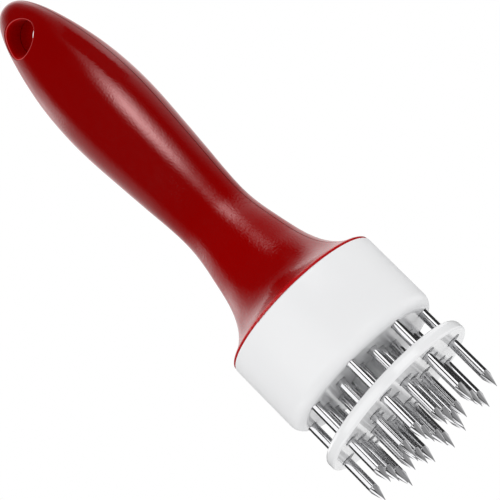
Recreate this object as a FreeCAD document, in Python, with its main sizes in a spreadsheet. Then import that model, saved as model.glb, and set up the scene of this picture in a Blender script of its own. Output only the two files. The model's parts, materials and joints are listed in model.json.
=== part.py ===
import FreeCAD, Part
import math
import os
import re
import Sketcher
from FreeCAD import Placement, Rotation, Vector

# Blade meat tenderizer: a hand-held plunger with three rings of steel needles and a sprung stripper disc.
# Millimetres. +Z runs up the handle's axis, the needle tips stand on z = 0, the hanging hole runs along Y
# and the handle is moulded in two halves that meet at y = 0.

doc = FreeCAD.newDocument("blade_meat_tenderizer")
sheet = doc.addObject("Spreadsheet::Sheet", "sizes")

SIZES = [
    # steel needles
    ("needle_reach", 33.0, "from the needle tips to the face of the housing"),
    ("needle_diameter", 3.2, "shank of a needle"),
    ("needle_point_length", 5.6, "four-sided point"),
    ("needle_point_flats", 2.76, "across the flats at the root of the point"),
    ("needle_tip_flats", 0.2, "across the flats at the very tip"),
    ("needle_point_heading", 25.0, "angle of a ridge of the point from +X, degrees"),
    ("needle_head_diameter", 4.6, "upset head that the housing's floor holds"),
    ("needle_head_thickness", 1.6, "height of that head"),
    ("needle_fit", 0.2, "clearance all round a needle in the housing's floor"),
    ("needles_per_ring", 8, "needles in each of the three rings"),
    ("outer_ring_gap", 0.2, "from the outer ring's heads to the housing's wall"),
    ("inner_ring_gap", 0.8, "from the inner ring's heads to the collar"),
    # housing that carries the needles
    ("housing_diameter", 59.0, "outside of the cup"),
    ("housing_height", 29.2, "from its face to its mouth"),
    ("housing_wall", 2.2, "side wall"),
    ("housing_floor", 5.0, "floor that the needles pass through"),
    ("housing_edge_round", 4.2, "rounding of the lower outer edge"),
    ("mouth_edge_round", 0.4, "rounding of the upper outer edge"),
    ("guide_rise", 4.0, "collar round the stem, above the floor"),
    ("guide_wall", 1.7, "wall of that collar"),
    ("guide_play", 0.25, "least room round the leaning stem in the collar"),
    # plate and screws that hold the needles down
    ("retainer_thickness", 2.0, "steel plate on the needle heads"),
    ("retainer_clearance", 0.5, "room round the plate and round the collar"),
    ("retainer_screw_count", 4, "screws of the plate"),
    ("screw_boss_diameter", 5.6, "boss under each screw"),
    ("screw_boss_overlap", 0.2, "how far a boss runs into the wall"),
    ("retainer_screw_diameter", 2.5, "shank of a plate screw"),
    ("retainer_screw_grip", 4.0, "depth of a plate screw below the plate"),
    ("retainer_screw_head", 4.8, "head diameter of a plate screw"),
    ("retainer_screw_head_height", 1.8, "head height of a plate screw"),
    ("screw_hole_gap", 0.05, "clearance round a screw's shank"),
    ("screw_hole_extra_depth", 0.5, "room below a screw's end"),
    ("screw_socket_depth", 1.0, "hexagon socket in a screw's head"),
    ("screw_edge_round", 0.4, "rounding of a screw's head"),
    # stripper disc and its stem
    ("disc_overhang", 0.5, "edge of the disc beyond the housing's side"),
    ("disc_thickness", 4.4, "stripper disc"),
    ("disc_top_round", 1.9, "rounding of the disc's upper edge"),
    ("disc_face_round", 0.8, "rounding of the edge of the disc's face"),
    ("disc_stroke", 8.0, "travel of the disc"),
    ("stroke_end_gap", 0.43, "room left above the disc's high side at the end of its travel"),
    ("disc_lean", 2.8, "lean of the disc at rest, degrees"),
    ("disc_lean_heading", 38.0, "direction in which the disc rises, from +X, degrees"),
    ("needle_play", 0.2, "least room round a needle in the leaning disc"),
    ("stem_diameter", 12.0, "stem of the disc"),
    ("stem_edge_round", 0.5, "fillet at the root of the stem"),
    ("washer_thickness", 1.2, "stop washer on the stem"),
    ("stop_clearance", 0.15, "gap between the washer's low side and the collar at rest"),
    ("stem_screw_diameter", 4.0, "shank of the stem's screw"),
    ("stem_screw_grip", 12.0, "depth of that screw in the stem"),
    ("stem_screw_head", 8.4, "head diameter of the stem's screw"),
    ("stem_screw_head_height", 2.8, "head height of the stem's screw"),
    # return spring and its seat
    ("spring_wire", 1.2, "wire of the spring"),
    ("spring_mean_diameter", 12.8, "coil, between wire centres"),
    ("spring_turns", 9, "active turns"),
    ("spring_gap", 0.1, "gap at each end of the spring"),
    ("seat_thickness", 1.5, "flange of the spring seat"),
    ("seat_collar_height", 3.0, "collar of the seat, inside the spring"),
    ("seat_bore_diameter", 6.0, "hole through the seat"),
    ("seat_ledge_radius", 7.0, "opening of the ledge that the seat bears on"),
    # handle: rim and spigot that close the housing
    ("rim_thickness", 1.1, "rim that lies on the housing's mouth"),
    ("rim_inset", 0.2, "rim inside the housing's outside"),
    ("rim_bevel", 0.4, "bevel of the rim's upper edge"),
    ("spigot_depth", 8.0, "spigot inside the housing"),
    ("spigot_wall", 2.0, "wall of the spigot"),
    ("spigot_clearance", 0.15, "room round the spigot"),
    ("snap_drop", 3.2, "from the housing's mouth to the snap bead"),
    ("snap_width", 1.6, "width of the bead"),
    ("snap_height", 0.3, "height of the bead"),
    # handle: control points of its turned outline, each one a step above the one before, from the rim up
    ("foot_radius", 18.8, "control point in the hollow of the foot"),
    ("foot_step", 4.6, "above the rim"),
    ("skirt_radius", 14.7, "control point where the skirt turns out"),
    ("skirt_step", 20.7, "above the foot"),
    ("neck_radius", 12.05, "control point at the neck"),
    ("neck_step", 12.9, "above the skirt"),
    ("wrist_radius", 13.95, "control point above the neck"),
    ("wrist_step", 18.5, "above the neck"),
    ("palm_radius", 15.15, "control point under the belly"),
    ("palm_step", 16.0, "above the wrist"),
    ("belly_radius", 16.5, "control point at the belly"),
    ("belly_step", 16.5, "above the palm"),
    ("upper_radius", 15.5, "control point above the belly"),
    ("upper_step", 19.5, "above the belly"),
    ("shoulder_radius", 11.6, "control point at the shoulder, beside the hanging hole"),
    ("shoulder_step", 17.8, "above the upper point"),
    ("crown_radius", 8.0, "control point at the crown"),
    ("crown_step", 10.8, "above the shoulder"),
    ("tip_radius", 4.0, "control point that levels the handle's top"),
    ("tip_step", 5.7, "above the crown"),
    # handle: inside
    ("handle_wall", 2.5, "wall of the shells"),
    ("skirt_wall", 1.8, "drop and inset of the cavity in the foot"),
    ("parting_gap", 0.12, "open line between the two shells"),
    ("hang_hole_diameter", 12.5, "hanging hole"),
    ("hang_hole_drop", 14.8, "from the handle's top to the hole's centre"),
    ("hang_hole_wall", 2.6, "solid plastic under the hole"),
    ("hang_hole_edge_round", 0.7, "rounded edge at both mouths of the hole"),
    ("rib_thickness", 4.0, "ribs across the cavity"),
    ("rib_opening_radius", 8.0, "opening in the ribs"),
    ("pin_diameter", 2.4, "locating pins on the rear shell"),
    ("pin_length", 3.0, "how far a pin enters the front shell"),
    ("pin_clearance", 0.1, "room round a pin"),
    ("pin_inset", 0.9, "plastic between a rib's opening and a pin"),
]

for row, (alias, value, note) in enumerate(SIZES, start=1):
    sheet.set(f"A{row}", note)
    sheet.set(f"B{row}", str(value))
    sheet.setAlias(f"B{row}", alias)
doc.recompute()

ALIASES = {alias for alias, value, note in SIZES}

# How near a place or a radius comes to the one looked for, and the least change that a feature makes.
MATCH = 1e-3


def expand(expression):
    """Puts the sheet's name before each size that an expression names."""
    return re.sub(r"[a-z_]+", lambda word: ("sizes." if word[0] in ALIASES else "") + word[0], expression)


def size(expression):
    """The number that an expression of sizes comes to."""
    return float(sheet.evalExpression(expand(expression)))


def bind(item, target, expression):
    item.setExpression(target, expand(expression))


# Heights and radii that several pieces share, as expressions of the sizes.
FLOOR_TOP = "(needle_reach + housing_floor)"
HEAD_TOP = f"({FLOOR_TOP} + needle_head_thickness)"
PLATE_TOP = f"({HEAD_TOP} + retainer_thickness)"
GUIDE_TOP = f"({FLOOR_TOP} + guide_rise)"
MOUTH = "(needle_reach + housing_height)"
HOUSING_INNER = "(housing_diameter / 2 - housing_wall)"

# The disc leans about the middle of its guide at half its stroke, so the stem and the needle holes have
# room for the lean.
DISC_RADIUS = "(housing_diameter / 2 + disc_overhang)"
LEAN_SINE = "sin(disc_lean * 1 deg)"
LEAN_COSINE = "cos(disc_lean * 1 deg)"
LEAN_SLOPE = "tan(disc_lean * 1 deg)"
DISC_REST = (f"(needle_reach - stroke_end_gap - disc_stroke - {DISC_RADIUS} * {LEAN_SINE}"
             f" - disc_thickness * {LEAN_COSINE})")
GUIDE_LENGTH = "(housing_floor + guide_rise)"
DISC_SHIFT = f"((needle_reach + {GUIDE_LENGTH} / 2 - {DISC_REST} - disc_stroke / 2) * {LEAN_SLOPE})"
NEEDLE_SLOT = f"(needle_diameter / 2 + {DISC_SHIFT} + disc_thickness / 2 * {LEAN_SLOPE} + needle_play)"
GUIDE_BORE = f"(stem_diameter / 2 + ({GUIDE_LENGTH} + disc_stroke) / 2 * {LEAN_SLOPE} + guide_play)"
GUIDE_OUTER = f"({GUIDE_BORE} + guide_wall)"
STEM_LENGTH = f"(({GUIDE_TOP} + {GUIDE_OUTER} * {LEAN_SINE} + stop_clearance - {DISC_REST}) / {LEAN_COSINE})"

# Needle rings: the outer one close to the wall, the inner one close to the collar, the middle one halfway.
OUTER_RING = f"({HOUSING_INNER} - needle_head_diameter / 2 - outer_ring_gap)"
INNER_RING = f"({GUIDE_OUTER} + needle_head_diameter / 2 + inner_ring_gap)"
MIDDLE_RING = f"(({OUTER_RING} + {INNER_RING}) / 2)"
SCREW_CIRCLE = f"({HOUSING_INNER} - screw_boss_diameter / 2 + screw_boss_overlap)"

RIM_TOP = f"({MOUTH} + rim_thickness)"
RIM_RADIUS = "(housing_diameter / 2 - rim_inset)"
SPIGOT_OUTER = f"({HOUSING_INNER} - spigot_clearance)"
SPIGOT_INNER = f"({SPIGOT_OUTER} - spigot_wall)"
FOOT = f"({MOUTH} + rim_thickness + foot_step)"
SKIRT = f"({FOOT} + skirt_step)"
NECK = f"({SKIRT} + neck_step)"
WRIST = f"({NECK} + wrist_step)"
PALM = f"({WRIST} + palm_step)"
BELLY = f"({PALM} + belly_step)"
UPPER = f"({BELLY} + upper_step)"
SHOULDER = f"({UPPER} + shoulder_step)"
CROWN = f"({SHOULDER} + crown_step)"
HANDLE_TOP = f"({CROWN} + tip_step)"
HOLE_HEIGHT = f"({HANDLE_TOP} - hang_hole_drop)"
CAVITY_TOP = f"({HOLE_HEIGHT} - hang_hole_diameter / 2 - hang_hole_wall)"

SEAT_UNDERSIDE = f"({NECK} - seat_thickness)"
SEAT_RADIUS = "(neck_radius - handle_wall)"
SPRING_BOTTOM = (f"({DISC_REST} + ({STEM_LENGTH} + washer_thickness) * {LEAN_COSINE}"
                 f" + (spring_mean_diameter + spring_wire) / 2 * {LEAN_SINE} + spring_gap)")
SPRING_TOP = f"({SEAT_UNDERSIDE} - spring_gap)"

PIECES = []


def keep(item, label):
    """Names a finished piece, which gives its file's name."""
    item.Label = label
    PIECES.append(item)
    return item


def origin_part(body, role):
    return next(part for part in body.Origin.OriginFeatures if part.Role == role)


def new_body(label):
    return doc.addObject("PartDesign::Body", label)


def new_sketch(body, name, role, height=None):
    """A sketch on one of the body's own planes, moved along the plane's normal by height."""
    sketch = body.newObject("Sketcher::SketchObject", name)
    sketch.AttachmentSupport = [(origin_part(body, role), "")]
    sketch.MapMode = "FlatFace"
    if height is not None:
        sketch.AttachmentOffset = Placement(Vector(0, 0, size(height)), Rotation())
        bind(sketch, "AttachmentOffset.Base.z", height)
    return sketch


def tie_point(sketch, curve, vertex, across, up):
    """Ties one vertex of a curve to two expressions; 0 puts it on the axis."""
    for text, kind, axis in ((across, "DistanceX", -2), (up, "DistanceY", -1)):
        if text == "0":
            sketch.addConstraint(Sketcher.Constraint("PointOnObject", curve, vertex, axis))
        else:
            index = sketch.addConstraint(Sketcher.Constraint(kind, -1, 1, curve, vertex, size(text)))
            bind(sketch, f"Constraints[{index}]", text)


def add_loop(sketch, points):
    """A closed outline of straight edges whose corners are tied to the sizes."""
    corners = [Vector(size(x), size(y), 0) for x, y in points]
    lines = [sketch.addGeometry(Part.LineSegment(a, b), False)
             for a, b in zip(corners, corners[1:] + corners[:1])]
    for number, line in enumerate(lines):
        sketch.addConstraint(Sketcher.Constraint("Coincident", lines[number - 1], 2, line, 1))
        tie_point(sketch, line, 1, *points[number])


def add_spline_outline(sketch, poles, points):
    """A smooth curve with control points tied to the sizes, closed by straight edges from its end to
    its start through the points given."""
    corners = [Vector(size(x), size(y), 0) for x, y in poles]
    curve = sketch.addGeometry(Part.BSplineCurve(corners, None, None, False, 3, None, False), False)
    handles = [sketch.addGeometry(Part.Circle(corner, Vector(0, 0, 1), 1.0), True) for corner in corners]
    sketch.addConstraint(Sketcher.Constraint("Weight", handles[0], 1.0))
    for number, handle in enumerate(handles):
        if number:
            sketch.addConstraint(Sketcher.Constraint("Equal", handles[0], handle))
        kind = "InternalAlignment:Sketcher::BSplineControlPoint"
        sketch.addConstraint(Sketcher.Constraint(kind, handle, 3, curve, number))
        tie_point(sketch, handle, 3, *poles[number])
    route = [corners[-1]] + [Vector(size(x), size(y), 0) for x, y in points] + [corners[0]]
    lines = [sketch.addGeometry(Part.LineSegment(a, b), False) for a, b in zip(route, route[1:])]
    sketch.addConstraint(Sketcher.Constraint("Coincident", curve, 2, lines[0], 1))
    for number, point in enumerate(points):
        sketch.addConstraint(Sketcher.Constraint("Coincident", lines[number], 2, lines[number + 1], 1))
        tie_point(sketch, lines[number], 2, *point)
    sketch.addConstraint(Sketcher.Constraint("Coincident", lines[-1], 2, curve, 1))


def add_circle(sketch, radius, across="0", up="0"):
    circle = sketch.addGeometry(Part.Circle(Vector(size(across), size(up), 0), Vector(0, 0, 1), size(radius)))
    index = sketch.addConstraint(Sketcher.Constraint("Radius", circle, size(radius)))
    bind(sketch, f"Constraints[{index}]", radius)
    tie_point(sketch, circle, 3, across, up)


def revolve(body, sketch, kind="Revolution"):
    feature = body.newObject(f"PartDesign::{kind}", kind.lower())
    feature.Profile = sketch
    feature.ReferenceAxis = (origin_part(body, "Z_Axis"), [""])
    feature.Angle = 360
    return feature


def turned_body(label, points):
    """A body turned about the Z axis from a closed outline of (radius, height) expressions."""
    body = new_body(label)
    outline = new_sketch(body, f"{label}_outline", "XZ_Plane")
    add_loop(outline, points)
    revolve(body, outline)
    doc.recompute()
    return body


def must_change(body, before, grows=False):
    """Stops if the last feature did not add or remove material."""
    doc.recompute()
    change = body.Shape.Volume - before
    if (change if grows else -change) < MATCH:
        raise RuntimeError(f"{body.Label}: the last feature changed nothing")


def polar_copies(body, feature, count):
    pattern = body.newObject("PartDesign::PolarPattern", f"{feature.Name}_pattern")
    pattern.Originals = [feature]
    pattern.Axis = (origin_part(body, "Z_Axis"), [""])
    pattern.Angle = 360
    pattern.Occurrences = int(size(count))
    bind(pattern, "Occurrences", count)
    body.Tip = pattern
    return pattern


def round_edges(body, radius, choose):
    """Fillets the edges of the body's tip that the function chooses."""
    base = body.Tip
    names = [f"Edge{number}" for number, edge in enumerate(base.Shape.Edges, start=1) if choose(edge)]
    if not names:
        raise RuntimeError(f"{body.Label}: no edge to round")
    fillet = body.newObject("PartDesign::Fillet", "edge_round")
    fillet.Base = (base, names)
    fillet.Radius = size(radius)
    bind(fillet, "Radius", radius)
    doc.recompute()
    return fillet


def is_ring(edge, radius, height):
    """Whether an edge is the circle of this radius about the Z axis, at this height."""
    curve = edge.Curve
    if not isinstance(curve, Part.Circle):
        return False
    centred = math.hypot(curve.Center.x, curve.Center.y) < MATCH
    return centred and abs(curve.Radius - radius) < MATCH and abs(curve.Center.z - height) < MATCH


def drill_circle(body, name, hole_radius, ring_radius, start_angle, count, top, depth=None):
    """Round holes on a circle about Z, cut down from a height: through, or to a depth."""
    before = body.Shape.Volume
    sketch = new_sketch(body, f"{name}_circle", "XY_Plane", top)
    across = f"{ring_radius} * cos({start_angle} * 1 deg)"
    up = f"{ring_radius} * sin({start_angle} * 1 deg)" if start_angle != "0" else "0"
    add_circle(sketch, hole_radius, across, up)
    pocket = body.newObject("PartDesign::Pocket", name)
    pocket.Profile = sketch
    if depth is None:
        pocket.Type = "ThroughAll"
    else:
        pocket.Length = size(depth)
        bind(pocket, "Length", depth)
    must_change(body, before)
    if count is not None:
        one_hole = before - body.Shape.Volume
        polar_copies(body, pocket, count)
        must_change(body, before - 1.5 * one_hole)


# Angle of each ring's first needle; the rings are staggered by half a step.
RINGS = [
    ("outer", OUTER_RING, "(180 / needles_per_ring)"),
    ("middle", MIDDLE_RING, "0"),
    ("inner", INNER_RING, "(180 / needles_per_ring)"),
]


def make_housing():
    """The white cup: floor with the needle holes, collar for the stem, screw bosses, snap groove."""
    groove_top = f"{MOUTH} - snap_drop + spigot_clearance"
    groove_bottom = f"{MOUTH} - snap_drop - snap_width - spigot_clearance"
    groove_radius = f"{HOUSING_INNER} + snap_height + spigot_clearance"
    body = turned_body("needle_housing", [
        (GUIDE_BORE, "needle_reach"),
        ("housing_diameter / 2", "needle_reach"),
        ("housing_diameter / 2", MOUTH),
        (HOUSING_INNER, MOUTH),
        (HOUSING_INNER, groove_top),
        (groove_radius, groove_top),
        (groove_radius, groove_bottom),
        (HOUSING_INNER, groove_bottom),
        (HOUSING_INNER, FLOOR_TOP),
        (GUIDE_OUTER, FLOOR_TOP),
        (GUIDE_OUTER, GUIDE_TOP),
        (GUIDE_BORE, GUIDE_TOP),
    ])
    radius = size("housing_diameter / 2")
    round_edges(body, "housing_edge_round", lambda edge: is_ring(edge, radius, size("needle_reach")))
    round_edges(body, "mouth_edge_round", lambda edge: is_ring(edge, radius, size(MOUTH)))
    before = body.Shape.Volume
    bosses = new_sketch(body, "boss_circle", "XY_Plane", FLOOR_TOP)
    add_circle(bosses, "screw_boss_diameter / 2", SCREW_CIRCLE)
    boss = body.newObject("PartDesign::Pad", "screw_boss")
    boss.Profile = bosses
    boss.Length = size("needle_head_thickness")
    bind(boss, "Length", "needle_head_thickness")
    must_change(body, before, grows=True)
    one_boss = body.Shape.Volume - before
    polar_copies(body, boss, "retainer_screw_count")
    must_change(body, before + 1.5 * one_boss, grows=True)
    drill_circle(body, "boss_hole", "(retainer_screw_diameter / 2 + screw_hole_gap)", SCREW_CIRCLE, "0",
                 "retainer_screw_count", HEAD_TOP, "retainer_screw_grip + screw_hole_extra_depth")
    for ring, radius, first in RINGS:
        drill_circle(body, f"{ring}_needle_hole", "(needle_diameter / 2 + needle_fit)", radius, first,
                     "needles_per_ring", MOUTH)
    return keep(body, "needle_housing")


def make_needle(label, ring_radius, angle):
    """One needle: shank, upset head, and a point with four flats whose ridges share one heading."""
    body = turned_body(label, [
        ("0", "0"),
        ("needle_diameter / 2", "0"),
        ("needle_diameter / 2", FLOOR_TOP),
        ("needle_head_diameter / 2", FLOOR_TOP),
        ("needle_head_diameter / 2", HEAD_TOP),
        ("0", HEAD_TOP),
    ])
    before = body.Shape.Volume
    flat = new_sketch(body, f"{label}_flat", "XZ_Plane")
    add_loop(flat, [
        ("needle_tip_flats / 2", "0"),
        ("needle_diameter", "0"),
        ("needle_diameter", "needle_point_length"),
        ("needle_point_flats / 2", "needle_point_length"),
    ])
    cut = body.newObject("PartDesign::Pocket", "point_flat")
    cut.Profile = flat
    cut.SideType = "Symmetric"
    cut.Length = size("needle_diameter * 2")
    bind(cut, "Length", "needle_diameter * 2")
    must_change(body, before)
    one_flat = before - body.Shape.Volume
    polar_copies(body, cut, "4")
    must_change(body, before - 1.5 * one_flat)
    turn = Rotation(Vector(0, 0, 1), size("needle_point_heading") - 45)
    body.Placement = Placement(Vector(0, 0, 0), turn)
    bind(body, "Placement.Base.x", f"{ring_radius} * cos({angle} * 1 deg)")
    bind(body, "Placement.Base.y", f"{ring_radius} * sin({angle} * 1 deg)")
    return keep(body, label)


def make_needles():
    count = int(size("needles_per_ring"))
    for ring, radius, first in RINGS:
        for number in range(count):
            angle = f"({first} + {number} * 360 / needles_per_ring)"
            make_needle(f"needle_{ring}_{number + 1}", radius, angle)


def make_retainer_plate():
    """Steel ring that lies on the needle heads and on the screw bosses."""
    body = turned_body("retainer_plate", [
        (f"{GUIDE_OUTER} + retainer_clearance", HEAD_TOP),
        (f"{HOUSING_INNER} - retainer_clearance", HEAD_TOP),
        (f"{HOUSING_INNER} - retainer_clearance", PLATE_TOP),
        (f"{GUIDE_OUTER} + retainer_clearance", PLATE_TOP),
    ])
    drill_circle(body, "plate_hole", "(retainer_screw_diameter / 2 + screw_hole_gap)", SCREW_CIRCLE, "0",
                 "retainer_screw_count", PLATE_TOP)
    return keep(body, "retainer_plate")


def make_screw(label, diameter, length, head, head_height, seat):
    """A cap screw with a hexagon socket, its head seated at the height given, on the Z axis."""
    body = turned_body(label, [
        ("0", f"{seat} - ({length})"),
        (f"{diameter} / 2", f"{seat} - ({length})"),
        (f"{diameter} / 2", seat),
        (f"{head} / 2", seat),
        (f"{head} / 2", f"{seat} + {head_height}"),
        ("0", f"{seat} + {head_height}"),
    ])
    radius, top = size(f"{head} / 2"), size(f"{seat} + {head_height}")
    round_edges(body, "screw_edge_round", lambda edge: is_ring(edge, radius, top))
    socket = body.newObject("PartDesign::SubtractivePrism", "hexagon_socket")
    socket.AttachmentSupport = [(origin_part(body, "XY_Plane"), "")]
    socket.MapMode = "FlatFace"
    bind(socket, "AttachmentOffset.Base.z", f"{seat} + {head_height} - screw_socket_depth")
    before = body.Shape.Volume
    socket.Polygon = 6
    bind(socket, "Circumradius", f"{head} / 4")
    bind(socket, "Height", "screw_socket_depth")
    must_change(body, before)
    return body


def make_retainer_screws():
    count = int(size("retainer_screw_count"))
    for number in range(count):
        label = f"retainer_screw_{number + 1}"
        body = make_screw(label, "retainer_screw_diameter", "retainer_screw_grip + retainer_thickness",
                          "retainer_screw_head", "retainer_screw_head_height", PLATE_TOP)
        angle = f"({number} * 360 / retainer_screw_count)"
        bind(body, "Placement.Base.x", f"{SCREW_CIRCLE} * cos({angle} * 1 deg)")
        bind(body, "Placement.Base.y", f"{SCREW_CIRCLE} * sin({angle} * 1 deg)")
        keep(body, label)


def stripper_placement():
    """Place of the disc and what it carries: leaning in its guide and hanging a little off centre."""
    heading = math.radians(size("disc_lean_heading"))
    shift = size(DISC_SHIFT)
    base = Vector(shift * math.cos(heading), shift * math.sin(heading), size(DISC_REST))
    hinge_line = Vector(math.sin(heading), -math.cos(heading), 0)
    return Placement(base, Rotation(hinge_line, size("disc_lean")))


def make_stripper():
    """The disc with its stem, the stop washer and the screw, all in the leaning frame of the disc."""
    body = turned_body("stripper_disc", [
        ("0", "0"),
        (DISC_RADIUS, "0"),
        (DISC_RADIUS, "disc_thickness"),
        ("stem_diameter / 2", "disc_thickness"),
        ("stem_diameter / 2", STEM_LENGTH),
        ("stem_screw_diameter / 2 + screw_hole_gap", STEM_LENGTH),
        ("stem_screw_diameter / 2 + screw_hole_gap",
         f"{STEM_LENGTH} - stem_screw_grip - screw_hole_extra_depth"),
        ("0", f"{STEM_LENGTH} - stem_screw_grip - screw_hole_extra_depth"),
    ])
    radius, thickness = size(DISC_RADIUS), size("disc_thickness")
    for rounding, height in (("min(disc_top_round; disc_thickness * 0.6)", thickness),
                             ("min(disc_face_round; disc_thickness * 0.3)", 0)):
        round_edges(body, rounding, lambda edge: is_ring(edge, radius, height))
    round_edges(body, "stem_edge_round", lambda edge: is_ring(edge, size("stem_diameter / 2"), thickness))
    for ring, radius, first in RINGS:
        drill_circle(body, f"{ring}_needle_slot", NEEDLE_SLOT, radius, first, "needles_per_ring",
                     "disc_thickness")
    washer = turned_body("stem_washer", [
        ("stem_screw_diameter / 2 + screw_hole_gap", STEM_LENGTH),
        (GUIDE_OUTER, STEM_LENGTH),
        (GUIDE_OUTER, f"{STEM_LENGTH} + washer_thickness"),
        ("stem_screw_diameter / 2 + screw_hole_gap", f"{STEM_LENGTH} + washer_thickness"),
    ])
    screw = make_screw("stem_screw", "stem_screw_diameter", "stem_screw_grip + washer_thickness",
                       "stem_screw_head", "stem_screw_head_height", f"({STEM_LENGTH} + washer_thickness)")
    for piece, label in ((body, "stripper_disc"), (washer, "stem_washer"), (screw, "stem_screw")):
        piece.Placement = stripper_placement()
        keep(piece, label)


def make_spring():
    """Round wire swept along a helix between the washer and the seat."""
    helix = doc.addObject("Part::Helix", "spring_line")
    bind(helix, "Radius", "spring_mean_diameter / 2")
    bind(helix, "Height", f"{SPRING_TOP} - {SPRING_BOTTOM} - spring_wire")
    bind(helix, "Pitch", f"({SPRING_TOP} - {SPRING_BOTTOM} - spring_wire) / spring_turns")
    bind(helix, "Placement.Base.z", f"{SPRING_BOTTOM} + spring_wire / 2")
    wire = doc.addObject("Part::Circle", "spring_section")
    bind(wire, "Radius", "spring_wire / 2")
    wire.Placement = Placement(Vector(0, 0, 0), Rotation(Vector(1, 0, 0), 90))
    bind(wire, "Placement.Base.x", "spring_mean_diameter / 2")
    bind(wire, "Placement.Base.z", f"{SPRING_BOTTOM} + spring_wire / 2")
    spring = doc.addObject("Part::Sweep", "return_spring")
    spring.Sections = [wire]
    doc.recompute()
    edges = [f"Edge{number}" for number in range(1, len(helix.Shape.Edges) + 1)]
    spring.Spine = (helix, edges)
    spring.Solid = True
    spring.Frenet = True
    doc.recompute()
    keep(spring, "return_spring")


def make_spring_seat():
    """Top hat washer: its flange bears on the ledge in the neck and its collar centres the spring."""
    collar = "(spring_mean_diameter - spring_wire) / 2 - spring_gap"
    body = turned_body("spring_seat", [
        ("seat_bore_diameter / 2", f"{SEAT_UNDERSIDE} - seat_collar_height"),
        (collar, f"{SEAT_UNDERSIDE} - seat_collar_height"),
        (collar, SEAT_UNDERSIDE),
        (SEAT_RADIUS, SEAT_UNDERSIDE),
        (SEAT_RADIUS, NECK),
        ("seat_bore_diameter / 2", NECK),
    ])
    return keep(body, "spring_seat")


# Control points of the handle's outline from the top down, as (radius, height).
OUTLINE = [
    ("0", HANDLE_TOP),
    ("tip_radius", HANDLE_TOP),
    ("crown_radius", CROWN),
    ("shoulder_radius", SHOULDER),
    ("upper_radius", UPPER),
    ("belly_radius", BELLY),
    ("palm_radius", PALM),
    ("wrist_radius", WRIST),
    ("neck_radius", NECK),
    ("skirt_radius", SKIRT),
    ("foot_radius", FOOT),
    (f"{RIM_RADIUS} - rim_bevel", RIM_TOP),
]


def make_handle_form():
    """Outside of the whole handle: turned outline, rim, and the spigot with its snap bead."""
    body = new_body("handle_form")
    outline = new_sketch(body, "handle_outline", "XZ_Plane")
    bead_top = f"{MOUTH} - snap_drop"
    bead_bottom = f"{MOUTH} - snap_drop - snap_width"
    add_spline_outline(outline, OUTLINE, [
        (RIM_RADIUS, f"{RIM_TOP} - rim_bevel"),
        (RIM_RADIUS, MOUTH),
        (SPIGOT_OUTER, MOUTH),
        (SPIGOT_OUTER, bead_top),
        (f"{SPIGOT_OUTER} + snap_height", f"{bead_top} - snap_height"),
        (f"{SPIGOT_OUTER} + snap_height", f"{bead_bottom} + snap_height"),
        (SPIGOT_OUTER, bead_bottom),
        (SPIGOT_OUTER, f"{MOUTH} - spigot_depth"),
        ("0", f"{MOUTH} - spigot_depth"),
    ])
    revolve(body, outline)
    doc.recompute()
    return body


def make_handle_cavity():
    """The hollow of both shells, with a ledge for the spring seat and ribs left standing in it."""
    body = new_body("handle_cavity")
    outline = new_sketch(body, "cavity_outline", "XZ_Plane")
    inner = [(f"{radius} - handle_wall", height) for radius, height in OUTLINE[2:10]]
    inner.append(("foot_radius - skirt_wall", f"{FOOT} - skirt_wall"))
    inner.append((SPIGOT_INNER, MOUTH))
    add_spline_outline(outline, inner, [
        (SPIGOT_INNER, f"{MOUTH} - spigot_depth - spigot_wall"),
        ("0", f"{MOUTH} - spigot_depth - spigot_wall"),
        ("0", CROWN),
    ])
    revolve(body, outline)
    doc.recompute()
    before = body.Shape.Volume
    solid_parts = new_sketch(body, "solid_parts", "XZ_Plane")
    clear = "belly_radius * 2"
    add_loop(solid_parts, [
        ("0", CAVITY_TOP),
        (clear, CAVITY_TOP),
        (clear, f"{CROWN} + handle_wall"),
        ("0", f"{CROWN} + handle_wall"),
    ])
    revolve(body, solid_parts, "Groove")
    must_change(body, before)
    ribs = [("seat_ledge", "seat_ledge_radius", f"{NECK} + rib_thickness / 2")]
    ribs += [(name, "rib_opening_radius", height)
             for name, height in (("palm_rib", PALM), ("belly_rib", BELLY), ("upper_rib", UPPER))]
    for name, opening, middle in ribs:
        before = body.Shape.Volume
        ring = new_sketch(body, name, "XZ_Plane")
        add_loop(ring, [
            (opening, f"{middle} - rib_thickness / 2"),
            (clear, f"{middle} - rib_thickness / 2"),
            (clear, f"{middle} + rib_thickness / 2"),
            (opening, f"{middle} + rib_thickness / 2"),
        ])
        revolve(body, ring, "Groove")
        must_change(body, before)
    return body


def make_bar(name, radius, start, length, across, height):
    """A round bar along +Y from y = start."""
    bar = doc.addObject("Part::Cylinder", name)
    bind(bar, "Radius", radius)
    bind(bar, "Height", length)
    bar.Placement = Placement(Vector(0, 0, 0), Rotation(Vector(1, 0, 0), -90))
    bind(bar, "Placement.Base.x", across)
    bind(bar, "Placement.Base.y", start)
    bind(bar, "Placement.Base.z", height)
    return bar


def join(kind, name, base, tool):
    """Part::Cut, Part::Common or Part::Fuse of two objects."""
    result = doc.addObject(f"Part::{kind}", name)
    result.Base = base
    result.Tool = tool
    doc.recompute()
    return result


def round_hole_mouths(item):
    """Rounds the two saddle-shaped edges where the hanging hole leaves the handle."""
    radius, height = size("hang_hole_diameter / 2"), size(HOLE_HEIGHT)
    names = []
    for number, edge in enumerate(item.Shape.Edges, start=1):
        if edge.Degenerated or isinstance(edge.Curve, Part.Line):
            continue
        if all(abs(math.hypot(p.x, p.z - height) - radius) < MATCH for p in edge.discretize(9)):
            names.append(number)
    rounded = doc.addObject("Part::Fillet", "handle_rounded")
    rounded.Base = item
    round_size = size("hang_hole_edge_round")
    rounded.Edges = [(number, round_size, round_size) for number in names]
    doc.recompute()
    return rounded


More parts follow.
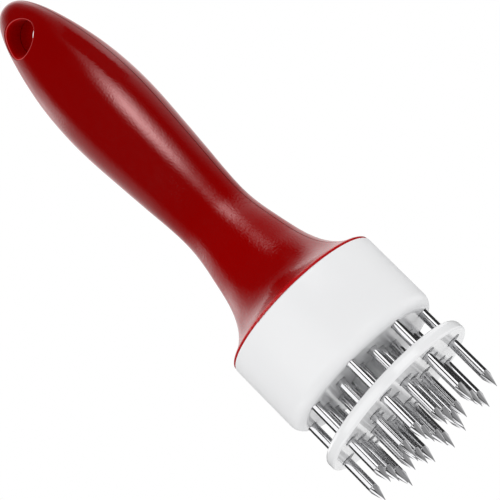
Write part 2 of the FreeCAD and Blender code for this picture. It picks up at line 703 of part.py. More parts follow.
def half_box(name, side):
    """Everything on one side of the parting line: side is -1 for the front and +1 for the rear."""
    box = doc.addObject("Part::Box", name)
    bind(box, "Length", "housing_diameter * 2")
    bind(box, "Width", "housing_diameter")
    bind(box, "Height", f"{HANDLE_TOP}")
    bind(box, "Placement.Base.x", "-housing_diameter")
    bind(box, "Placement.Base.y", "parting_gap / 2" if side > 0 else "-housing_diameter - parting_gap / 2")
    bind(box, "Placement.Base.z", "needle_reach")
    return box


def make_shells():
    """The two halves of the handle: pins stand on the rear one and enter the front one."""
    hollow = join("Cut", "handle_hollow", make_handle_form(), make_handle_cavity())
    hole = make_bar("hang_hole", "hang_hole_diameter / 2", "-housing_diameter / 2", "housing_diameter",
                    "0", HOLE_HEIGHT)
    rounded = round_hole_mouths(join("Cut", "handle_bored", hollow, hole))
    pin_across = "(rib_opening_radius + pin_inset + pin_diameter / 2)"
    places = [(side, height) for height in (PALM, UPPER) for side in ("", "-")]
    socket_depth = "pin_length + screw_hole_extra_depth"
    pins, sockets = [], []
    for number, (side, height) in enumerate(places, start=1):
        across = f"{side}{pin_across}"
        pins.append(make_bar(f"pin_{number}", "pin_diameter / 2", "-pin_length", "pin_length + handle_wall",
                             across, height))
        sockets.append(make_bar(f"socket_{number}", "pin_diameter / 2 + pin_clearance",
                                f"-({socket_depth})", socket_depth, across, height))
    front = join("Common", "front_blank", rounded, half_box("front_half", -1))
    rear = join("Common", "rear_blank", rounded, half_box("rear_half", 1))
    for number, (pin, socket) in enumerate(zip(pins, sockets), start=1):
        front = join("Cut", f"front_step_{number}", front, socket)
        rear = join("Fuse", f"rear_step_{number}", rear, pin)
    keep(front, "front_handle_shell")
    keep(rear, "rear_handle_shell")


def check_document():
    for item in doc.Objects:
        if "Invalid" in item.State or "Error" in item.State:
            raise RuntimeError(f"{item.Label}: {item.State}")
    for piece in PIECES:
        shape = piece.Shape
        if shape.isNull() or not shape.isValid() or len(shape.Solids) != 1:
            raise RuntimeError(f"{piece.Label}: not one valid solid")


make_shells()
make_housing()
make_needles()
make_retainer_plate()
make_retainer_screws()
make_stripper()
make_spring()
make_spring_seat()
doc.recompute()
check_document()

os.makedirs("parts", exist_ok=True)
for piece in PIECES:
    piece.Shape.exportStep(f"parts/{piece.Label}.step")

print("pieces:", len(PIECES))
print("handle top:", round(size(HANDLE_TOP), 2))
print("disc underside at rest:", round(size(DISC_REST), 2), "shift:", round(size(DISC_SHIFT), 2))
print("rings:", [round(size(radius), 2) for ring, radius, first in RINGS])
print("guide bore:", round(size(GUIDE_BORE), 2), "needle slot:", round(size(NEEDLE_SLOT), 2))
print("spring from", round(size(SPRING_BOTTOM), 2), "to", round(size(SPRING_TOP), 2))
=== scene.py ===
"""Looks of the blade meat tenderizer: camera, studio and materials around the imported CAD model."""

import json
import math

import bpy
from mathutils import Matrix, Vector
from mathutils.bvhtree import BVHTree


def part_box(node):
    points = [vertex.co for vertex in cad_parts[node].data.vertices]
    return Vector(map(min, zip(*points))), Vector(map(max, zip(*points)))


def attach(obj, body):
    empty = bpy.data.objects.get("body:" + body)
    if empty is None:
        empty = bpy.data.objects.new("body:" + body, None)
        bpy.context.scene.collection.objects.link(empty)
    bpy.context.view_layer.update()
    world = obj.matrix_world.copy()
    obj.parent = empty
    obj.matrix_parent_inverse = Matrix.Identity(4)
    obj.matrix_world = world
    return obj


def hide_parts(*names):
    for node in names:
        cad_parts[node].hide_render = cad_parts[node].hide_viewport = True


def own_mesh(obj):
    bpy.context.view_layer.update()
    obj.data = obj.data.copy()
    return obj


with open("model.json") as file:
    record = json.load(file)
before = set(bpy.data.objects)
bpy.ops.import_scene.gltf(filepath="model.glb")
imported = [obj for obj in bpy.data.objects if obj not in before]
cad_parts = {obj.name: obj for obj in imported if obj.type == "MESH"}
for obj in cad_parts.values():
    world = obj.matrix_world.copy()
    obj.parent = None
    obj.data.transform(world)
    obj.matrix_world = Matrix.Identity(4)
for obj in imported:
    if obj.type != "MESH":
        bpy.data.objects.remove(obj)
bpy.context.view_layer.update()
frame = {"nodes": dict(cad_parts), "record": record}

MM = 0.001

# Camera: it looks slightly up at the object from below, and is rolled so that the handle points up and left.
FRAME_PIXELS = 500
FOCAL_PIXELS = 2428.0
CAMERA_AZIMUTH = math.radians(27.5)
CAMERA_ELEVATION = math.radians(-15.69)
CAMERA_ROLL = math.radians(-44.9)
CAMERA_DISTANCE = 776.2 * MM
AIM_HEIGHT = 87.54 * MM
AIM_ASIDE = 0.43 * MM
CLIP_START = 0.01
CLIP_END = 50.0

# Places on the model: where the handle's rim meets the cup, and the hanging hole.
RIM_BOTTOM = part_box("needle_housing")[1].z
HANG_HOLE = frame["record"]["mounts"][0]
HOLE_HEIGHT = HANG_HOLE["pos_m"][2]
HOLE_RADIUS = HANG_HOLE["dims"]["r_mm"] * MM


def direction(azimuth, elevation):
    """The unit vector from the object towards a viewer at these angles; azimuth 0 is on the -Y side."""
    flat = math.cos(elevation)
    return Vector((math.sin(azimuth) * flat, -math.cos(azimuth) * flat, math.sin(elevation)))


def make_camera():
    towards = direction(CAMERA_AZIMUTH, CAMERA_ELEVATION)
    aside = Vector((math.cos(CAMERA_AZIMUTH), math.sin(CAMERA_AZIMUTH), 0.0))
    aim = Vector((0.0, 0.0, AIM_HEIGHT)) + aside * AIM_ASIDE
    data = bpy.data.cameras.new("camera")
    data.sensor_fit = "HORIZONTAL"
    data.angle = 2 * math.atan(FRAME_PIXELS / 2 / FOCAL_PIXELS)
    data.clip_start = CLIP_START
    data.clip_end = CLIP_END
    camera = bpy.data.objects.new("camera", data)
    upright = (-towards).to_track_quat("-Z", "Y").to_matrix().to_4x4()
    place = Matrix.Translation(aim + towards * CAMERA_DISTANCE)
    camera.matrix_world = place @ upright @ Matrix.Rotation(CAMERA_ROLL, 4, "Z")
    bpy.context.scene.collection.objects.link(camera)
    bpy.context.scene.camera = camera


# Nodes ----------------------------------------------------------------------------------------------------

def plug(tree, node, values):
    """Feeds a node's inputs from sockets, or sets them to plain values."""
    for key, value in values.items():
        if isinstance(value, bpy.types.NodeSocket):
            tree.links.new(value, node.inputs[key])
        else:
            node.inputs[key].default_value = value


def add_node(tree, kind, inputs=None, **settings):
    """Adds a node to a tree; an input is a plain value or the socket that feeds it."""
    node = tree.nodes.new(kind)
    for name, value in settings.items():
        setattr(node, name, value)
    plug(tree, node, inputs or {})
    return node


def math_node(tree, operation, first, second=0.0):
    return add_node(tree, "ShaderNodeMath", {0: first, 1: second}, operation=operation).outputs[0]


def product(tree, first, second):
    return math_node(tree, "MULTIPLY", first, second)


def vector_node(tree, operation, first, second=None):
    inputs = {0: first} if second is None else {0: first, 1: second}
    return add_node(tree, "ShaderNodeVectorMath", inputs, operation=operation).outputs


def dot(tree, first, second):
    return vector_node(tree, "DOT_PRODUCT", first, second)["Value"]


def length(tree, vector):
    return vector_node(tree, "LENGTH", vector)["Value"]


def ramp(tree, value, start, end, low=0.0, high=1.0, shape="SMOOTHSTEP"):
    """A step of a value, smooth unless shape says otherwise: low up to start, high from end on."""
    inputs = {"Value": value, "From Min": start, "From Max": end, "To Min": low, "To Max": high}
    return add_node(tree, "ShaderNodeMapRange", inputs, interpolation_type=shape).outputs["Result"]


def profile(tree, value, stops):
    """A smooth curve of a value through stops, which are pairs of a value and what the curve gives there."""
    first, last = stops[0][0], stops[-1][0]
    along = ramp(tree, value, first, last, shape="LINEAR")
    node = add_node(tree, "ShaderNodeValToRGB", {"Fac": along})
    curve = node.color_ramp
    curve.interpolation = "EASE"
    while len(curve.elements) < len(stops):
        curve.elements.new(0.5)
    for element, (place, level) in zip(curve.elements, stops):
        element.position = (place - first) / (last - first)
        element.color = grey(level)
    return node.outputs["Color"]


def grey(level):
    return (level, level, level, 1.0)


def mix_colours(tree, factor, first, second):
    node = add_node(tree, "ShaderNodeMix", data_type="RGBA")
    plug(tree, node, {0: factor, 6: first, 7: second})
    return node.outputs[2]


# Studio ---------------------------------------------------------------------------------------------------

WHITE = grey(1.0)

# What glossy surfaces see around the object, as grey levels.
STUDIO_FRONT = grey(0.02)
WALL_LEFT = grey(0.80)
WALL_RIGHT = grey(0.50)
HIGH_LEFT = grey(2.20)
HIGH_RIGHT = grey(1.40)
HIGH_BACK = grey(1.50)
TABLE_LIGHT = grey(0.95)
TABLE_GREY = grey(0.50)
LOW_LEFT = grey(1.80)
LOW_LEFT_EDGE = grey(0.10)
LOW_RIGHT = grey(1.05)
LOW_RIGHT_EDGE = grey(0.42)

# Where those levels change, as start and end of smooth steps along three directions: facing is 1 towards the
# camera and -1 behind the object, aside is 1 to the camera's right, and rise is 1 straight up.
WALLS_ASIDE = (-0.3, 0.3)
WALLS_FACING = (0.2, -0.3)
BACK_FACING = (-0.2, -0.8)
HORIZON_RISE = (0.40, 0.15)
HORIZON_SHADE = 0.5
HIGH_FOOT = (0.36, 0.44)
HIGH_TOP = (0.76, 0.52)
HIGH_LEFT_ASIDE = (-0.35, -0.60)
HIGH_LEFT_FACING = (0.0, -0.30)
HIGH_RIGHT_ASIDE = (0.45, 0.65)
HIGH_BACK_RISE = (0.55, 0.70)
HIGH_BACK_FACING = (-0.2, -0.5)
TABLE_ASIDE = (0.15, 0.35)
TABLE_RISE = (0.05, -0.03)
LOW_RISE = (0.0, -0.05)
LOW_RIGHT_ASIDE = (0.5, 0.8)
LOW_RIGHT_FACING = (0.05, -0.25)
LOW_LEFT_ASIDE = (-0.5, -0.8)
LOW_LEFT_FRONT = (0.0, 0.12)
LOW_LEFT_BACK = (-0.22, -0.30)

# The light that matt surfaces get from all sides.
FILL = grey(1.0)

FLOOR_COLOUR = grey(0.86)
FLOOR_RADIUS = 3.0
FLOOR_CORNERS = 64
FLOOR_DROP = 0.1 * MM
# Distances from its middle between which the floor fades to white.
FLOOR_FADE = (0.25, 0.9)

# Soft lights: name, heading from the camera in degrees, foot, top, width, radiance, distance, hot centre.
CARDS = (
    ("grip_softbox", 29, 59 * MM, 291 * MM, 260 * MM, 6.5, 200 * MM, True),
    ("wide_softbox", 38.7, 60 * MM, 350 * MM, 340 * MM, 8.5, 200 * MM, True),
    ("right_strip", 36, 35 * MM, 150 * MM, 200 * MM, 2.1, 300 * MM, False),
    ("left_strip", -40, 35 * MM, 135 * MM, 430 * MM, 1.7, 300 * MM, False),
)
# How steeply the light of a hot centre falls towards the card's edges.
SOFTBOX_FALL = 4.0

# Black boards: name, first and last heading from the camera in degrees, foot, top, distance, casts a shadow.
FLAGS = (
    ("right_flag", 60, 180, 40 * MM, 150 * MM, 300 * MM, False),
    ("left_flag", -80, -180, 40 * MM, 150 * MM, 300 * MM, False),
    ("disc_flag", 0, 65, 42 * MM, 75 * MM, 60 * MM, True),
    ("top_flag", 53, 97, 188 * MM, 260 * MM, 100 * MM, False),
)
FLAG_STEPS = 24
FLAG_COLOUR = grey(0.03)


def wall_seen(tree, facing, aside, rise):
    """The studio's walls: dark in front, lighter on the left than on the right, white behind the object and
    darker low down, with brighter patches high up on the left, on the right and at the back."""
    wall = mix_colours(tree, ramp(tree, aside, *WALLS_ASIDE), WALL_LEFT, WALL_RIGHT)
    wall = mix_colours(tree, ramp(tree, facing, *WALLS_FACING), STUDIO_FRONT, wall)
    wall = mix_colours(tree, ramp(tree, facing, *BACK_FACING), wall, WHITE)
    wall = mix_colours(tree, ramp(tree, rise, *HORIZON_RISE, high=HORIZON_SHADE), wall, STUDIO_FRONT)
    high = product(tree, ramp(tree, rise, *HIGH_FOOT), ramp(tree, rise, *HIGH_TOP))
    left = product(tree, ramp(tree, aside, *HIGH_LEFT_ASIDE), ramp(tree, facing, *HIGH_LEFT_FACING))
    wall = mix_colours(tree, product(tree, high, left), wall, HIGH_LEFT)
    right = ramp(tree, aside, *HIGH_RIGHT_ASIDE)
    wall = mix_colours(tree, product(tree, high, right), wall, HIGH_RIGHT)
    back = product(tree, ramp(tree, rise, *HIGH_BACK_RISE), ramp(tree, facing, *HIGH_BACK_FACING))
    return mix_colours(tree, back, wall, HIGH_BACK)


def table_seen(tree, facing, aside, rise, wall):
    """The wall with what lies below it: a light table that is grey at its sides, a patch low on the right
    that gets lighter towards the back, and a bright one with dark edges low on the left."""
    off_middle = ramp(tree, math_node(tree, "ABSOLUTE", aside), *TABLE_ASIDE)
    table = mix_colours(tree, off_middle, TABLE_LIGHT, TABLE_GREY)
    room = mix_colours(tree, ramp(tree, rise, *TABLE_RISE), wall, table)
    low = ramp(tree, rise, *LOW_RISE)
    right = product(tree, low, ramp(tree, aside, *LOW_RIGHT_ASIDE))
    right_side = mix_colours(tree, ramp(tree, facing, *LOW_RIGHT_FACING), LOW_RIGHT_EDGE, LOW_RIGHT)
    room = mix_colours(tree, right, room, right_side)
    left = product(tree, low, ramp(tree, aside, *LOW_LEFT_ASIDE))
    front, back = ramp(tree, facing, *LOW_LEFT_FRONT), ramp(tree, facing, *LOW_LEFT_BACK)
    left_side = mix_colours(tree, math_node(tree, "MAXIMUM", front, back), LOW_LEFT, LOW_LEFT_EDGE)
    return mix_colours(tree, left, room, left_side)


def make_world():
    """White to the camera, an even light to matt surfaces, and a room of light and dark to glossy ones."""
    world = bpy.data.worlds.new("studio")
    bpy.context.scene.world = world
    world.use_nodes = True
    world.cycles.sampling_method = "NONE"
    tree = world.node_tree
    tree.nodes.clear()
    rays = add_node(tree, "ShaderNodeLightPath").outputs
    looking = add_node(tree, "ShaderNodeTexCoord").outputs["Generated"]
    facing = dot(tree, looking, direction(CAMERA_AZIMUTH, 0.0))
    aside = dot(tree, looking, direction(CAMERA_AZIMUTH + math.radians(90), 0.0))
    rise = add_node(tree, "ShaderNodeSeparateXYZ", {0: looking}).outputs["Z"]
    wall = wall_seen(tree, facing, aside, rise)
    room = table_seen(tree, facing, aside, rise, wall)
    mirrored = math_node(tree, "MAXIMUM", rays["Is Glossy Ray"], rays["Is Transmission Ray"])
    lit = mix_colours(tree, mirrored, FILL, room)
    shown = mix_colours(tree, rays["Is Camera Ray"], lit, WHITE)
    background = add_node(tree, "ShaderNodeBackground", {"Color": shown, "Strength": 1.0})
    output = add_node(tree, "ShaderNodeOutputWorld")
    tree.links.new(background.outputs[0], output.inputs["Surface"])


def make_floor():
    """Pale floor under the needle tips, seen only from above and fading to white far away."""
    turns = [2 * math.pi * corner / FLOOR_CORNERS for corner in range(FLOOR_CORNERS)]
    corners = [(FLOOR_RADIUS * math.cos(turn), FLOOR_RADIUS * math.sin(turn), 0.0) for turn in turns]
    mesh = bpy.data.meshes.new("floor")
    mesh.from_pydata(corners, [], [tuple(range(FLOOR_CORNERS))])
    floor = bpy.data.objects.new("floor", mesh)
    bpy.context.scene.collection.objects.link(floor)
    floor.location.z = -FLOOR_DROP
    floor.visible_shadow = False
    floor.visible_diffuse = False
    floor.visible_glossy = False
    material = bpy.data.materials.new("floor")
    material.use_nodes = True
    tree = material.node_tree
    tree.nodes.clear()
    far = ramp(tree, length(tree, add_node(tree, "ShaderNodeTexCoord").outputs["Object"]), *FLOOR_FADE)
    matt = add_node(tree, "ShaderNodeBsdfDiffuse", {"Color": FLOOR_COLOUR}).outputs[0]
    glow = add_node(tree, "ShaderNodeEmission", {"Color": WHITE, "Strength": 1.0}).outputs[0]
    clear = add_node(tree, "ShaderNodeBsdfTransparent").outputs[0]
    top = add_node(tree, "ShaderNodeMixShader", {0: far, 1: matt, 2: glow}).outputs[0]
    from_below = add_node(tree, "ShaderNodeNewGeometry").outputs["Backfacing"]
    seen = add_node(tree, "ShaderNodeMixShader", {0: from_below, 1: top, 2: clear}).outputs[0]
    output = add_node(tree, "ShaderNodeOutputMaterial")
    tree.links.new(seen, output.inputs["Surface"])
    mesh.materials.append(material)


def fade_to_edges(lamp):
    """Makes a lamp full bright in its middle and dark at its edges."""
    lamp.use_nodes = True
    tree = lamp.node_tree
    across = add_node(tree, "ShaderNodeNewGeometry").outputs["Parametric"]
    middle, edge = (0.5, 0.5, 0.0), 0.5
    from_middle = vector_node(tree, "DISTANCE", across, middle)["Value"]
    fade = ramp(tree, from_middle, edge, 0.0)
    tree.links.new(math_node(tree, "POWER", fade, SOFTBOX_FALL), tree.nodes["Emission"].inputs["Strength"])


def make_card(name, heading, low, high, width, radiance, distance, hot_centre):
    """A soft light that stands upright and faces the handle's axis, at an angle from the camera. Only
    reflections see it. With a hot centre its light fades out towards its edges."""
    data = bpy.data.lights.new(name, "AREA")
    data.shape = "RECTANGLE"
    data.size = width
    data.size_y = high - low
    data.energy = radiance * math.pi * width * (high - low)
    if hot_centre:
        fade_to_edges(data)
    card = bpy.data.objects.new(name, data)
    towards = direction(CAMERA_AZIMUTH + math.radians(heading), 0.0)
    card.matrix_world = Matrix.Translation(towards * distance + Vector((0, 0, (low + high) / 2)))
    card.matrix_world @= towards.to_track_quat("Z", "Y").to_matrix().to_4x4()
    card.visible_camera = False
    card.visible_diffuse = False
    bpy.context.scene.collection.objects.link(card)


def make_flag(name, start, end, low, high, distance, shadow):
    """A black curved board that only reflections see, between two angles from the camera; with a shadow it
    also keeps the lamps off what lies behind it."""
    corners = []
    for step in range(FLAG_STEPS + 1):
        heading = CAMERA_AZIMUTH + math.radians(start + (end - start) * step / FLAG_STEPS)
        foot = direction(heading, 0.0) * distance
        corners += [(foot.x, foot.y, low), (foot.x, foot.y, high)]
    faces = [(2 * i, 2 * i + 2, 2 * i + 3, 2 * i + 1) for i in range(FLAG_STEPS)]
    mesh = bpy.data.meshes.new(name)
    mesh.from_pydata(corners, [], faces)
    flag = bpy.data.objects.new(name, mesh)
    bpy.context.scene.collection.objects.link(flag)
    for ray in ("camera", "diffuse", "transmission"):
        setattr(flag, f"visible_{ray}", False)
    flag.visible_shadow = shadow
    material = bpy.data.materials.new(name)
    material.use_nodes = True
    material.node_tree.nodes["Principled BSDF"].inputs["Base Color"].default_value = FLAG_COLOUR
    mesh.materials.append(material)


def make_studio():
    make_world()
    make_floor()
    for card in CARDS:
        make_card(*card)
    for flag in FLAGS:
        make_flag(*flag)


# Materials ------------------------------------------------------------------------------------------------

RED_DARK = (0.208, 0.0, 0.0, 1.0)
RED_LIGHT = (0.224, 0.0, 0.0, 1.0)
# Painted light: the lower handle is painted a brighter red.
RED_SKIRT_PAINTED_LIGHT = (0.255, 0.0, 0.0, 1.0)
# Painted highlight: a bright red painted along the rim's edge.
RED_RIM_HIGHLIGHT = (0.44, 0.005, 0.007, 1.0)
# Painted light: the inside of the hanging hole is painted lighter to make up for the shade in it.
RED_IN_HOLE_PAINTED_LIGHT = (0.36, 0.0, 0.0, 1.0)
# Painted highlight: a pale ring painted round the mouth of the hanging hole.
RED_LIP_HIGHLIGHT = (0.55, 0.07, 0.07, 1.0)
# Painted shade: near-black painted along the gap between the two shells.
RED_PARTING_SHADE = (0.04, 0.0, 0.0, 1.0)
RED_MIRROR = (1.0, 0.69, 0.69, 1.0)
RED_SHEEN = (1.0, 0.12, 0.12, 1.0)
WHITE_COOL = (0.84, 0.845, 0.855, 1.0)
WHITE_WARM = (0.86, 0.862, 0.87, 1.0)
NEEDLE_DARK = (0.52, 0.52, 0.53, 1.0)
NEEDLE_LIGHT = (0.60, 0.60, 0.61, 1.0)
FASTENER_DARK = (0.50, 0.50, 0.51, 1.0)
FASTENER_LIGHT = (0.62, 0.62, 0.63, 1.0)
SPRING_DARK = (0.36, 0.36, 0.38, 1.0)
SPRING_LIGHT = (0.50, 0.50, 0.52, 1.0)

# Heights between which the handle's red is painted brighter downwards as painted light, its painted rim
# highlight begins, and its grain gets coarser.
SKIRT_PAINTED_LIGHT = (120 * MM, 85 * MM)
RIM_HIGHLIGHT = (RIM_BOTTOM + 1.5 * MM, RIM_BOTTOM + 0.9 * MM)
SKIRT_GRAIN = (118 * MM, 92 * MM)
# Relief of that grain in mm, on the grip and on the skirt.
GRAIN_RELIEF = (0.034, 0.07)
# Distances from the hole's axis that bound its inside, painted lighter as painted light, and the painted
# highlight around its mouth.
IN_HOLE = (HOLE_RADIUS + 0.5 * MM, HOLE_RADIUS + 0.2 * MM)
LIP_HIGHLIGHT_INNER = (HOLE_RADIUS + 0.2 * MM, HOLE_RADIUS + 0.3 * MM)
LIP_HIGHLIGHT_OUTER = (HOLE_RADIUS + 0.5 * MM, HOLE_RADIUS + 0.4 * MM)
# The painted shade along the gap between the two shells: distances from the parting plane, and how dark the
# painted shade is.
PARTING_EDGE = (0.30 * MM, 0.14 * MM)
PARTING_SHADE = 0.65
# The knit line under the hole: distances from its middle, the heights where it begins, and its relief in mm.
KNIT_EDGE = (0.3 * MM, 0.1 * MM)
KNIT_FOOT = (HOLE_HEIGHT - 16 * MM, HOLE_HEIGHT - 12 * MM)
KNIT_RELIEF = 0.01
# Gloss of the handle by height: a glossy foot, a dull skirt with one glossier band, a polished grip, and a
# dull stretch under the glossier top end.
GLOSS = (
    (66 * MM, 0.60), (70 * MM, 0.36), (78 * MM, 0.22), (83 * MM, 0.10), (88 * MM, 0.09), (92 * MM, 0.15),
    (96 * MM, 0.24), (100 * MM, 0.22), (104 * MM, 0.10), (109 * MM, 0.14), (114 * MM, 0.25),
    (122 * MM, 0.50), (145 * MM, 0.46), (160 * MM, 0.38), (168 * MM, 0.25), (176 * MM, 0.12),
    (186 * MM, 0.09), (194 * MM, 0.20), (202 * MM, 0.40),
)

# White plastic: the relief in mm of its orange peel and of the rings on its level faces, and how far up or
# down a face looks to be a level one.
PEEL_RELIEF = 0.004
RING_RELIEF = 0.010
LEVEL_FACE = (0.90, 0.98)

# How much a point's ground faces bulge: relief in mm for each mm2 of squared distance from the axis.
NEEDLE_DOME = 0.11
# The ground faces end between these heights.
NEEDLE_POINT = (5.9 * MM, 5.6 * MM)
# The roughness of those faces as a part of the drawn shank's.
NEEDLE_POLISH = 0.45

SCRATCH_DEPTH = 0.003 * MM

# The middle part of the range of a noise, which is what its ramps use.
NOISE_SPAN = (0.3, 0.7)


def new_material(name):
    """A material with a Principled shader; gives it with its tree, its shader and its object coordinates."""
    material = bpy.data.materials.new(name)
    material.use_nodes = True
    tree = material.node_tree
    shader = tree.nodes["Principled BSDF"]
    place = add_node(tree, "ShaderNodeTexCoord").outputs["Object"]
    return material, tree, shader, place


def noise(tree, place, size, detail=2.0, stretch=None):
    """Noise whose features are about size metres across, longer along an axis where stretch says so."""
    if stretch is not None:
        place = vector_node(tree, "MULTIPLY", place, tuple(1.0 / factor for factor in stretch))[0]
    inputs = {"Vector": place, "Scale": 1.0 / size, "Detail": detail, "Roughness": 0.5}
    return add_node(tree, "ShaderNodeTexNoise", inputs).outputs["Fac"]


def bump(tree, height, depth):
    return add_node(tree, "ShaderNodeBump", {"Distance": depth, "Height": height}).outputs["Normal"]


def red_plastic():
    """Deep red moulded plastic with a fine grain: painted brighter towards the rim as painted light, with a
    painted highlight on the rim and round the mouth of the hanging hole, dull and painted lighter inside the
    hole as painted light, painted shade along the parting line, and a faint knit line under the hole where
    the melt met."""
    material, tree, shader, place = new_material("red_plastic")
    across, depth, height = add_node(tree, "ShaderNodeSeparateXYZ", {0: place}).outputs
    above_hole = math_node(tree, "SUBTRACT", height, HOLE_HEIGHT)
    from_hole = add_node(tree, "ShaderNodeCombineXYZ", {"X": across, "Z": above_hole}).outputs[0]
    hole_distance = length(tree, from_hole)
    in_hole = ramp(tree, hole_distance, *IN_HOLE)
    # The ring of the painted highlight round the hole's mouth.
    lip_highlight = product(tree, ramp(tree, hole_distance, *LIP_HIGHLIGHT_INNER), ramp(tree, hole_distance, *LIP_HIGHLIGHT_OUTER))
    parting = ramp(tree, math_node(tree, "ABSOLUTE", depth), *PARTING_EDGE)

    colour = mix_colours(tree, noise(tree, place, size=18 * MM), RED_DARK, RED_LIGHT)
    # Painted light: the red is painted brighter towards the foot.
    colour = mix_colours(tree, ramp(tree, height, *SKIRT_PAINTED_LIGHT), colour, RED_SKIRT_PAINTED_LIGHT)
    # Painted highlight on the rim.
    colour = mix_colours(tree, ramp(tree, height, *RIM_HIGHLIGHT), colour, RED_RIM_HIGHLIGHT)
    # Painted light inside the hanging hole.
    colour = mix_colours(tree, in_hole, colour, RED_IN_HOLE_PAINTED_LIGHT)
    # Painted highlight round the hole's mouth.
    colour = mix_colours(tree, lip_highlight, colour, RED_LIP_HIGHLIGHT)
    # Painted shade along the parting line.
    colour = mix_colours(tree, product(tree, parting, PARTING_SHADE), colour, RED_PARTING_SHADE)

    coarseness = ramp(tree, ramp(tree, height, *SKIRT_GRAIN), 0.0, 1.0, *GRAIN_RELIEF)
    grain = product(tree, noise(tree, place, size=0.7 * MM, detail=1.0), coarseness)
    near_middle = ramp(tree, math_node(tree, "ABSOLUTE", across), *KNIT_EDGE)
    knit = product(tree, near_middle, ramp(tree, height, *KNIT_FOOT))
    relief = math_node(tree, "ADD", grain, product(tree, knit, KNIT_RELIEF))
    dull = math_node(tree, "MAXIMUM", in_hole, parting)
    patches = noise(tree, place, size=2.5 * MM)
    plug(tree, shader, {
        "Base Color": colour,
        "Roughness": ramp(tree, patches, *NOISE_SPAN, low=0.09, high=0.12),
        "Specular IOR Level": product(tree, profile(tree, height, GLOSS), ramp(tree, dull, 1.0, 0.0)),
        "Specular Tint": RED_MIRROR,
        "Sheen Weight": 0.35,
        "Sheen Roughness": 0.25,
        "Sheen Tint": RED_SHEEN,
        "Normal": bump(tree, relief, MM),
    })
    return material


def white_plastic(name, smooth, rough, polish):
    """White moulded plastic with a faint orange peel, between two roughnesses. Its level faces are smoother
    by the factor of polish, and have faint rings as from a turned mould."""
    material, tree, shader, place = new_material(name)
    outward = add_node(tree, "ShaderNodeTexCoord").outputs["Normal"]
    upward = add_node(tree, "ShaderNodeSeparateXYZ", {0: outward}).outputs["Z"]
    level = ramp(tree, math_node(tree, "ABSOLUTE", upward), *LEVEL_FACE)
    roughness = ramp(tree, noise(tree, place, size=3 * MM), *NOISE_SPAN, low=smooth, high=rough)
    radius = length(tree, vector_node(tree, "MULTIPLY", place, (1.0, 1.0, 0.0))[0])
    from_axis = add_node(tree, "ShaderNodeCombineXYZ", {"X": radius}).outputs[0]
    rings = product(tree, noise(tree, from_axis, size=0.5 * MM), level)
    peel = product(tree, noise(tree, place, size=0.9 * MM), PEEL_RELIEF)
    relief = math_node(tree, "ADD", peel, product(tree, rings, RING_RELIEF))
    plug(tree, shader, {
        "Base Color": mix_colours(tree, noise(tree, place, size=15 * MM), WHITE_COOL, WHITE_WARM),
        "Roughness": product(tree, roughness, ramp(tree, level, 0.0, 1.0, low=1.0, high=polish)),
        "Normal": bump(tree, relief, MM),
    })
    return material


def needle_steel():
    """Drawn and polished steel; the ground faces of the point are smoother and slightly domed."""
    material, tree, shader, place = new_material("needle_steel")
    drawn = noise(tree, place, size=0.3 * MM, stretch=(1.0, 1.0, 400.0))
    height = add_node(tree, "ShaderNodeSeparateXYZ", {0: place}).outputs["Z"]
    in_point = ramp(tree, height, *NEEDLE_POINT)
    roughness = ramp(tree, noise(tree, place, size=1.5 * MM), *NOISE_SPAN, low=0.10, high=0.12)
    low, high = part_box("needle_inner_1")
    width = ((high.x - low.x) / MM, (high.y - low.y) / MM, 0.0)
    middle = (0.5, 0.5, 0.5)
    within = add_node(tree, "ShaderNodeTexCoord").outputs["Generated"]
    from_axis = vector_node(tree, "SUBTRACT", within, middle)[0]
    from_axis = vector_node(tree, "MULTIPLY", from_axis, width)[0]
    dome = product(tree, dot(tree, from_axis, from_axis), in_point)
    plug(tree, shader, {
        "Base Color": mix_colours(tree, drawn, NEEDLE_DARK, NEEDLE_LIGHT),
        "Metallic": 1.0,
        "Roughness": product(tree, roughness, ramp(tree, in_point, 0.0, 1.0, low=1.0, high=NEEDLE_POLISH)),
        "Normal": bump(tree, product(tree, dome, -NEEDLE_DOME), MM),
    })
    return material


def plain_steel(name, dark, light, smooth, rough):
    """Steel for the parts inside: a cloudy colour and roughness with fine scratches."""
    material, tree, shader, place = new_material(name)
    clouds = noise(tree, place, size=2 * MM, detail=4.0)
    scratches = noise(tree, place, size=0.15 * MM, stretch=(8.0, 1.0, 1.0))
    plug(tree, shader, {
        "Base Color": mix_colours(tree, clouds, dark, light),
        "Metallic": 1.0,
        "Roughness": ramp(tree, clouds, *NOISE_SPAN, low=smooth, high=rough),
        "Normal": bump(tree, scratches, SCRATCH_DEPTH),
    })
    return material


# Pieces ---------------------------------------------------------------------------------------------------

# The tongue between the two shells of the handle: how deep under the surface, how wide and how thick.
SEAM_RECESS = 0.4 * MM
SEAM_WIDTH = 1.0 * MM
SEAM_THICKNESS = 0.10 * MM
SEAM_STEPS = 90
# It starts this far above the cup, and the handle's edge is measured this far into the front shell.
SEAM_FOOT = 1.0 * MM
BESIDE_PARTING = 0.05 * MM
# The distance from the axis, well outside the handle, from which rays look for its surface.
OUTSIDE = 100 * MM


def new_piece(name, mesh, material):
    """An object of one material, linked to the scene."""
    mesh.materials.clear()
    mesh.materials.append(material)
    piece = bpy.data.objects.new(name, mesh)
    bpy.context.scene.collection.objects.link(piece)
    return piece


def handle_outline():
    """The handle's right edge in its parting plane, from the foot to the top, as radius and height."""
    shell = frame["nodes"]["front_handle_shell"].data
    surface = BVHTree.FromPolygons([corner.co for corner in shell.vertices],
                                   [face.vertices for face in shell.polygons])
    parting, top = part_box("front_handle_shell")[1].yz
    foot = RIM_BOTTOM + SEAM_FOOT
    outline = []
    for step in range(SEAM_STEPS):
        height = foot + (top - foot) * math.sin(math.pi / 2 * step / SEAM_STEPS)
        start = Vector((OUTSIDE, parting - BESIDE_PARTING, height))
        outline.append(Vector((surface.ray_cast(start, Vector((-1.0, 0.0, 0.0)))[0].x, height)))
    return outline + [Vector((0.0, top))]


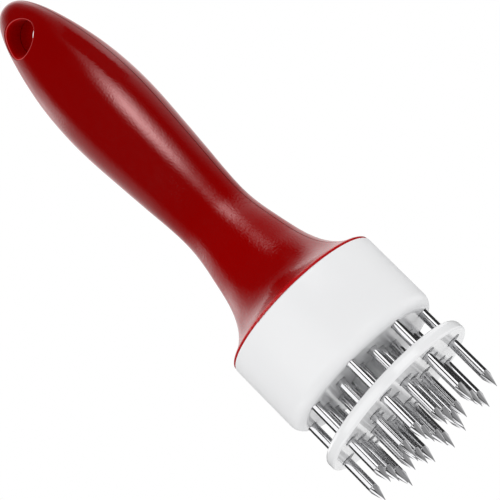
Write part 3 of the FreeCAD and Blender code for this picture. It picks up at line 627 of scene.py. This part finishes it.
def seam_edges():
    """Pairs of the tongue's outer and inner edge, up the right side of the handle and down the left."""
    outline = handle_outline()
    depths = (SEAM_RECESS, SEAM_RECESS + SEAM_WIDTH)
    right = []
    for place, point in enumerate(outline[:-1]):
        along = outline[place + 1] - outline[max(place - 1, 0)]
        inward = Vector((-along.y, along.x)).normalized()
        right.append(tuple(point + inward * depth for depth in depths))
    top = tuple(Vector((0.0, outline[-1].y - depth)) for depth in depths)
    left = [tuple(Vector((-point.x, point.y)) for point in pair) for pair in reversed(right)]
    return right + [top] + left


def make_seam(material):
    """A thin tongue in the parting line, so that no light falls through between the two shells."""
    corners = []
    for outer, inner in seam_edges():
        for point, side in ((outer, -0.5), (outer, 0.5), (inner, 0.5), (inner, -0.5)):
            corners.append((point.x, side * SEAM_THICKNESS, point.y))
    last = len(corners) - 4
    faces = [(ring + side, ring + (side + 1) % 4, ring + 4 + (side + 1) % 4, ring + 4 + side)
             for ring in range(0, last, 4) for side in range(4)]
    faces += [(3, 2, 1, 0), (last, last + 1, last + 2, last + 3)]
    mesh = bpy.data.meshes.new("seam_tongue")
    mesh.from_pydata(corners, [], faces)
    seam = new_piece("seam_tongue", mesh, material)
    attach(seam, "handle_and_needles")


def make_spring(material):
    """The return spring as the CAD has it, in a mesh of its own that moves with the handle and the needles.
    """
    spring = new_piece("return_spring_coil", frame["nodes"]["return_spring"].data.copy(), material)
    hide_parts("return_spring")
    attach(spring, "handle_and_needles")
    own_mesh(spring)


def dress_nodes():
    """Gives each CAD node the material of its slot in the record, and adds the two pieces of this script."""
    materials = {
        "handle_plastic": red_plastic(),
        "white_plastic": white_plastic("cup_plastic", smooth=0.36, rough=0.42, polish=0.25),
        "needle_steel": needle_steel(),
        "fastener_steel": plain_steel("fastener_steel", FASTENER_DARK, FASTENER_LIGHT,
                                      smooth=0.25, rough=0.4),
        "spring_steel": plain_steel("spring_steel", SPRING_DARK, SPRING_LIGHT, smooth=0.2, rough=0.35),
    }
    for row in frame["record"]["subparts"]:
        for slot in frame["nodes"][row["node"]].material_slots:
            slot.material = materials[row["material_slot"]]
    disc_plastic = white_plastic("disc_plastic", smooth=0.17, rough=0.22, polish=0.4)
    for slot in frame["nodes"]["stripper_disc"].material_slots:
        slot.material = disc_plastic
    make_seam(materials["handle_plastic"])
    make_spring(materials["spring_steel"])


make_camera()
make_studio()
dress_nodes()
bpy.context.scene.view_settings.view_transform = "Standard"
